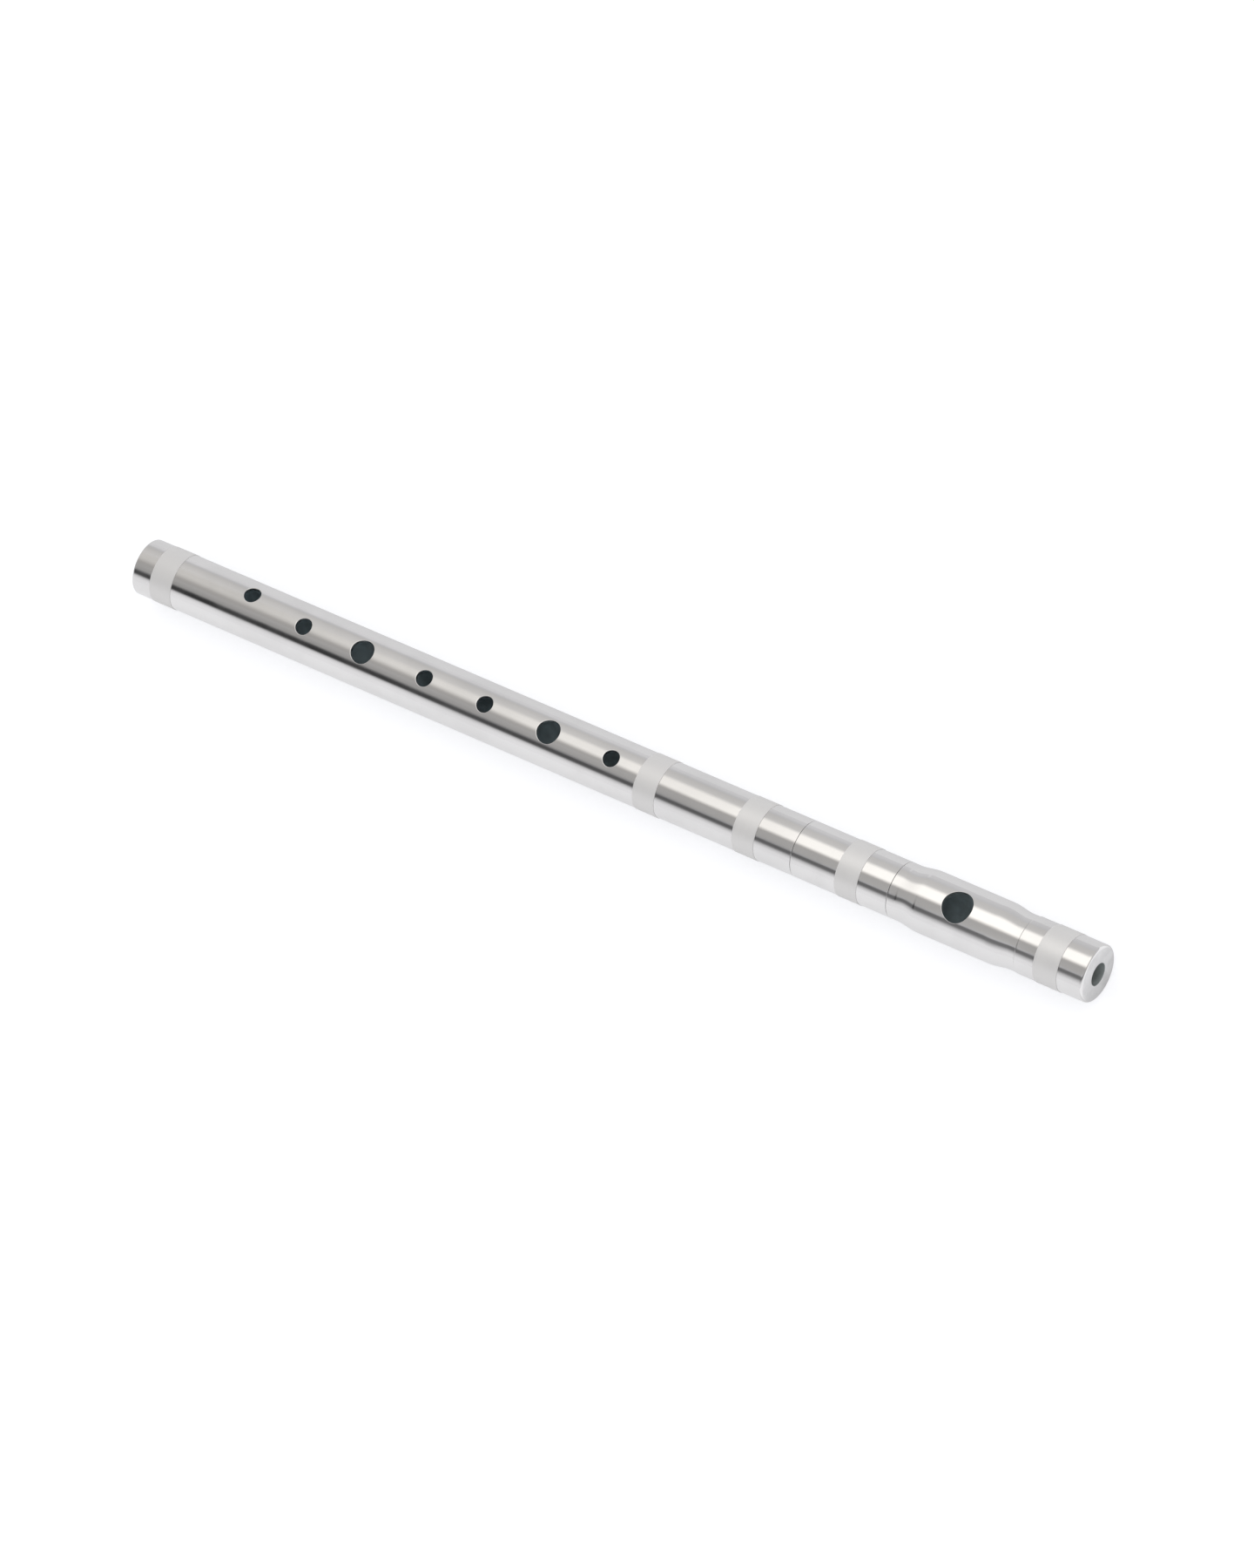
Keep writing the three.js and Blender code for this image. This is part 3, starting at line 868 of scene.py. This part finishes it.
class FIFE_OT_lip_sleeve(bpy.types.Operator):
    """Turns the barrel that the lip rests on and bores the blow hole through it"""

    bl_idname = "fife.lip_sleeve"
    bl_label = "Lip Sleeve"

    def slope(self, flush, towards_barrel):
        """Corners of an even rise from the tube's width to the barrel's."""
        steps = 28
        rise = BARREL_RADIUS - TUBE_RADIUS
        corners = []
        for step in range(steps + 1):
            share = step / steps
            eased = (1 - math.cos(math.pi * share)) / 2
            station = flush + towards_barrel * sizes().barrel_slope * share
            corners.append((station, TUBE_RADIUS + rise * eased, 0))
        return corners

    def execute(self, context):
        set_up = sizes()
        inside = set_up.bore / 2 + set_up.sleeved_wall + set_up.solder_gap
        start = LIP_START - set_up.seam_close
        end = LIP_END + set_up.seam_close
        edge = set_up.edge_round
        hole = blow_hole()
        corners = [
            (start, inside, 0),
            *reversed(wall_rings([hole], inside)),
            (end, inside, 0),
            (end, TUBE_RADIUS, edge),
            *self.slope(LIP_END - set_up.lip_land, -1),
            *wall_rings([hole], BARREL_RADIUS),
            *reversed(self.slope(LIP_START + set_up.lip_land, 1)),
            (start, TUBE_RADIUS, edge),
        ]
        piece = turn("lip_barrel", filleted(corners))
        bore_holes(piece, [hole], BARREL_RADIUS)
        finish_piece(piece, "head_joint", "lip_sleeve", "polished_nickel", material_of(polished_plate))
        return {"FINISHED"}


class FIFE_OT_crown_cap(bpy.types.Operator):
    """Turns the hollow crown with the hole in its face"""

    bl_idname = "fife.crown_cap"
    bl_label = "Crown Cap"

    def execute(self, context):
        set_up = sizes()
        inside = set_up.bore / 2 + set_up.sleeved_wall + set_up.solder_gap
        hole = set_up.crown_hole / 2
        start = CROWN_START - set_up.seam_close
        wall = CROWN_FACE - set_up.crown_wall
        edge = set_up.edge_round
        corners = [
            (start, inside, 0),
            (wall, inside, 0),
            (wall, hole, edge / 2),
            (CROWN_FACE, hole, edge),
            (CROWN_FACE, CROWN_RADIUS, set_up.crown_round),
            *band_groove("crown_band", CROWN_RADIUS),
            (start, CROWN_RADIUS, edge),
        ]
        piece = turn("crown", filleted(corners))
        shade(piece)
        polish = material_of(polished_plate)
        face = material_of(faced_plate)
        dark = material_of(shaded_crown_inside)
        finish_piece(piece, "head_joint", "crown_cap", "polished_nickel", polish, face, dark)
        # Faces in the crown's cup and round its hole take the finish with the painted shade.
        for face in piece.data.polygons:
            radius = math.hypot(face.center.y, face.center.z)
            in_cup = radius < inside + ON_WALL / 2 and face.center.x < wall
            if face.normal.x > FACES_OUT:
                face.material_index = 1
            elif in_cup or radius < hole + edge:
                face.material_index = 2
        return {"FINISHED"}


class FIFE_OT_bands(bpy.types.Operator):
    """Turns the five satin bands"""

    bl_idname = "fife.bands"
    bl_label = "Satin Bands"

    def execute(self, context):
        set_up = sizes()
        hosts = {
            "foot_band": ("body_joint", TUBE_RADIUS),
            "body_band": ("body_joint", TUBE_RADIUS),
            "socket_band": ("body_joint", TUBE_RADIUS),
            "head_band": ("head_joint", TUBE_RADIUS),
            "crown_band": ("head_joint", CROWN_RADIUS),
        }
        for node, (body, host_radius) in hosts.items():
            low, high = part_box(node)
            inside = host_radius - set_up.groove + set_up.solder_gap
            corners = [
                (low.x, inside, 0),
                (high.x, inside, 0),
                (high.x, high.z, set_up.band_round),
                (low.x, high.z, set_up.band_round),
            ]
            piece = turn("satin_" + node, filleted(corners))
            shade(piece)
            finish_piece(piece, body, node, "satin_nickel", material_of(satin_plate))
        return {"FINISHED"}


class FIFE_OT_stopper(bpy.types.Operator):
    """Turns the stopper's face plate, stem, cork and washer, and shapes its nut"""

    bl_idname = "fife.stopper"
    bl_label = "Stopper"

    def face_and_stem(self):
        low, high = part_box("stopper_stem")
        plate_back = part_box("stopper_cork")[0].x - PLATE_GAP
        edge = sizes().edge_round
        corners = [
            (low.x, 0, 0),
            (high.x, 0, 0),
            (high.x, STEM_RADIUS, edge),
            (plate_back, STEM_RADIUS, edge),
            (plate_back, high.z, edge),
            (low.x, high.z, edge),
        ]
        outline = filleted(corners)
        piece = turn("stopper_face_and_stem", outline[1:] + outline[:1], closed=False)
        deselect_all()
        bpy.ops.mesh.primitive_cube_add(size=1, location=(0, 0, 0))
        slot = bpy.context.object
        bpy.ops.object.mode_set(mode="EDIT")
        bpy.ops.transform.resize(value=DRIVER_SLOT)
        bpy.ops.transform.translate(value=(high.x, 0, 0))
        bpy.ops.object.mode_set(mode="OBJECT")
        cut_with(piece, slot)
        shade(piece)
        finish_piece(piece, "stopper", "stopper_stem", "stopper_brass", material_of(turned_brass))

    def ring(self, name, node, inside, edge, slot, material):
        low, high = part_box(node)
        corners = [
            (low.x, inside, 0),
            (high.x, inside, 0),
            (high.x, high.z, edge),
            (low.x, high.z, edge),
        ]
        piece = turn(name, filleted(corners))
        shade(piece)
        finish_piece(piece, "stopper", node, slot, material)

    def nut(self, inside):
        low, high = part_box("stopper_nut")
        length = high.x - low.x
        corner_radius = high.z
        flat_radius = high.y
        lead = (corner_radius - flat_radius) * NUT_LEAD
        blank = turn(
            "stopper_hex_nut",
            filleted([
                (low.x, inside, 0),
                (high.x, inside, 0),
                (high.x, flat_radius, 0),
                (high.x - lead, corner_radius, 0),
                (low.x + lead, corner_radius, 0),
                (low.x, flat_radius, 0),
            ]),
        )
        deselect_all()
        bpy.ops.mesh.primitive_cylinder_add(vertices=6, radius=corner_radius, depth=2 * length)
        prism = bpy.context.object
        bpy.ops.object.mode_set(mode="EDIT")
        bpy.ops.mesh.select_all(action="SELECT")
        bpy.ops.transform.rotate(value=math.pi / 2, orient_axis="Y", center_override=(0, 0, 0))
        bpy.ops.transform.translate(value=((low.x + high.x) / 2, 0, 0))
        bpy.ops.object.mode_set(mode="OBJECT")
        activate(blank)
        bpy.ops.object.modifier_add(type="BOOLEAN")
        modifier = blank.modifiers[-1]
        modifier.operation = "INTERSECT"
        modifier.object = prism
        bpy.ops.object.modifier_apply(modifier=modifier.name)
        bpy.data.objects.remove(prism)
        shade(blank)
        finish_piece(blank, "stopper", "stopper_nut", "stopper_brass", material_of(turned_brass))

    def execute(self, context):
        inside = STEM_RADIUS + STEM_GAP
        self.face_and_stem()
        cork, brass = material_of(grained_cork), material_of(turned_brass)
        self.ring("stopper_cork_plug", "stopper_cork", inside, CORK_ROUND, "cork", cork)
        self.ring("stopper_clamp_washer", "stopper_washer", inside, WASHER_ROUND, "stopper_brass", brass)
        self.nut(inside)
        return {"FINISHED"}


class FIFE_OT_studio(bpy.types.Operator):
    """Lays the floor, hangs the lights and sets the camera"""

    bl_idname = "fife.studio"
    bl_label = "Studio"

    def floor(self):
        deselect_all()
        bpy.ops.mesh.primitive_plane_add(size=FLOOR_SIZE, location=(0, 0, 0))
        floor = bpy.context.object
        floor.name = "floor"
        floor.data.transform(Matrix.Translation((0, 0, cad_box[0].z)))
        material = bpy.data.materials.new("pale_floor")
        material.use_nodes = True
        kit = NodeKit(material.node_tree)
        shader = kit.nodes["Principled BSDF"]
        shader.inputs["Base Color"].default_value = (0.6, 0.6, 0.605, 1)
        shader.inputs["Roughness"].default_value = 0.9
        shader.inputs["Specular IOR Level"].default_value = 0.0
        shader.inputs["Emission Color"].default_value = (0.97, 0.98, 1.01, 1)

        # The glow that metal shows: brighter before the fife than behind it, and rising past the crown
        x, y, _ = kit.coordinates("Object")
        behind = kit.ranged(y, -0.01, 0.015, 0.37, 0.22)
        outward = kit.ranged(x, CROWN_FACE, CROWN_FACE + 0.01, 0.14, 0.5)
        past_crown = kit.combined("GREATER_THAN", x, CROWN_FACE)
        seen = kit.between(past_crown, behind, outward, kind="FLOAT")
        rays = kit.new("LightPath").outputs
        mirrored = kit.combined("MAXIMUM", rays["Is Glossy Ray"], rays["Is Transmission Ray"])
        in_metal = kit.combined("MULTIPLY", mirrored, seen)
        camera_glow = 0.55
        glow = kit.combined("MULTIPLY_ADD", rays["Is Camera Ray"], camera_glow, in_metal)
        kit.give(glow, shader.inputs["Emission Strength"])
        floor.data.materials.append(material)

    def room_ramp(self, kit, turn_share, level):
        """The room's light round the tube, near the foot with level 1 and near the head with level 2."""
        ramp = kit.new("ValToRGB", Fac=turn_share)
        elements = ramp.color_ramp.elements
        elements.remove(elements[1])
        for stop in ROOM_STOPS:
            share = (stop[0] + 180) / 360
            element = elements[0] if stop is ROOM_STOPS[0] else elements.new(share)
            element.position = share
            element.color = shaded(stop[3], stop[level])
        return ramp.outputs["Color"]

    def world(self):
        """A white room. Metal sees its light and dark stretches, by the angle round the tube."""
        world = bpy.data.worlds.new("studio")
        bpy.context.scene.world = world
        world.use_nodes = True
        kit = NodeKit(world.node_tree)
        kit.nodes.clear()
        white = (1, 1, 1, 1)
        room_level = 0.95

        # Directions along X tell the foot's half from the head's, and the barrel's slope from both
        x, y, z = kit.coordinates("Generated")
        turn_share = kit.ranged(kit.combined("ARCTAN2", y, z), -math.pi, math.pi)
        toward_head = kit.eased(x, -0.488, -0.405)
        on_slope = kit.ranged(x, -0.4895, -0.505, 0.0, 0.8)
        end = kit.combined("MAXIMUM", toward_head, on_slope)
        walls = kit.between(end, self.room_ramp(kit, turn_share, 1), self.room_ramp(kit, turn_share, 2))

        room = kit.new("Background", Color=white, Strength=room_level)
        mirrored = kit.new("Background", Color=walls)
        backdrop = kit.new("Background", Color=white)
        rays = kit.new("LightPath").outputs
        shade_of = [node.outputs["Background"] for node in (room, mirrored, backdrop)]
        by_gloss = kit.layered(rays["Is Glossy Ray"], shade_of[0], shade_of[1])
        by_camera = kit.layered(rays["Is Camera Ray"], by_gloss, shade_of[2])
        kit.new("OutputWorld", Surface=by_camera)

    def light_card(self):
        """A card over the fife, brighter towards the head, which only reflections show."""
        centre = (-0.05, 0.03, 0.12)
        size = (0.8, 0.18, 1, 1)
        deselect_all()
        bpy.ops.mesh.primitive_grid_add(x_subdivisions=2, y_subdivisions=2, size=1)
        card = bpy.context.object
        card.name = "light_card"
        card.data.transform(Matrix.Translation(centre) @ Matrix.Diagonal(size))
        card.visible_camera = False
        card.visible_diffuse = False
        card.visible_shadow = False
        material = bpy.data.materials.new("light_card")
        material.use_nodes = True
        kit = NodeKit(material.node_tree)
        kit.nodes.clear()

        # Its near edge is soft at the foot and crisp at the head, and its far edge runs aslant
        x, y, _ = kit.coordinates("Object")
        near_edge = kit.eased(y, -0.029, kit.ranged(x, -0.14, -0.02, 0.034, 0.004))
        aslant = kit.combined("ADD", y, kit.combined("MULTIPLY", x, -0.05))
        sides = kit.combined("MULTIPLY", near_edge, kit.eased(aslant, 0.101, 0.053))
        ends = kit.combined("MULTIPLY", kit.eased(x, -0.4, -0.2), kit.eased(x, 0.33, 0.23))
        strength = kit.ranged(x, -0.2, 0.07, 0.67, 1.3)
        light = kit.new("Emission", Color=(1, 0.98, 0.945, 1), Strength=strength)
        clear = kit.new("BsdfTransparent")
        mask = kit.combined("MULTIPLY", sides, ends)
        surface = kit.layered(mask, clear.outputs["BSDF"], light.outputs["Emission"])
        kit.new("OutputMaterial", Surface=surface)
        card.data.materials.append(material)

    def camera(self):
        distance = 3.3
        seen_height = 0.4584
        below_axis = 0.00325
        target_station = 0.0066
        along = (Vector((1, 0, 0)) - TO_CAMERA * TO_CAMERA.x).normalized()
        across = TO_CAMERA.cross(along)
        right = along * math.cos(TUBE_SLOPE) + across * math.sin(TUBE_SLOPE)
        up = across * math.cos(TUBE_SLOPE) - along * math.sin(TUBE_SLOPE)
        target = Vector((target_station, 0, 0)) - across * below_axis
        place = Matrix((right, up, TO_CAMERA)).transposed().to_4x4()
        place.translation = target + TO_CAMERA * distance
        deselect_all()
        bpy.ops.object.camera_add()
        camera = bpy.context.object
        camera.matrix_world = place
        camera.data.sensor_width = 36
        camera.data.lens = camera.data.sensor_width * distance / seen_height
        camera.data.clip_start = 0.1
        camera.data.clip_end = 50
        bpy.context.scene.camera = camera

    def execute(self, context):
        self.floor()
        self.light_card()
        self.world()
        self.camera()
        context.scene.view_settings.view_transform = "Standard"
        return {"FINISHED"}


class VIEW3D_PT_fife(bpy.types.Panel):
    """Lists the fife's pieces and its studio"""

    bl_label = "Fife"
    bl_space_type = "VIEW_3D"
    bl_region_type = "UI"
    bl_category = "Fife"

    def draw(self, context):
        for operator in OPERATORS:
            self.layout.operator(operator.bl_idname)
        for group in (context.scene.fife_sizes, context.scene.fife_colours):
            for label in group.__annotations__:
                self.layout.prop(group, label)


OPERATORS = (
    FIFE_OT_body_tube,
    FIFE_OT_tenon_sleeve,
    FIFE_OT_head_tube,
    FIFE_OT_lip_sleeve,
    FIFE_OT_crown_cap,
    FIFE_OT_bands,
    FIFE_OT_stopper,
    FIFE_OT_studio,
)
CLASSES = (FifeSizes, FifeColours, *OPERATORS, VIEW3D_PT_fife)


def register():
    for new_class in CLASSES:
        bpy.utils.register_class(new_class)
    bpy.types.Scene.fife_sizes = PointerProperty(type=FifeSizes)
    bpy.types.Scene.fife_colours = PointerProperty(type=FifeColours)


def unregister():
    del bpy.types.Scene.fife_colours
    del bpy.types.Scene.fife_sizes
    for old_class in reversed(CLASSES):
        bpy.utils.unregister_class(old_class)


def main():
    register()
    bpy.ops.fife.body_tube()
    bpy.ops.fife.tenon_sleeve()
    bpy.ops.fife.head_tube()
    bpy.ops.fife.lip_sleeve()
    bpy.ops.fife.crown_cap()
    bpy.ops.fife.bands()
    bpy.ops.fife.stopper()
    bpy.ops.fife.studio()


if __name__ == "__main__":
    main()
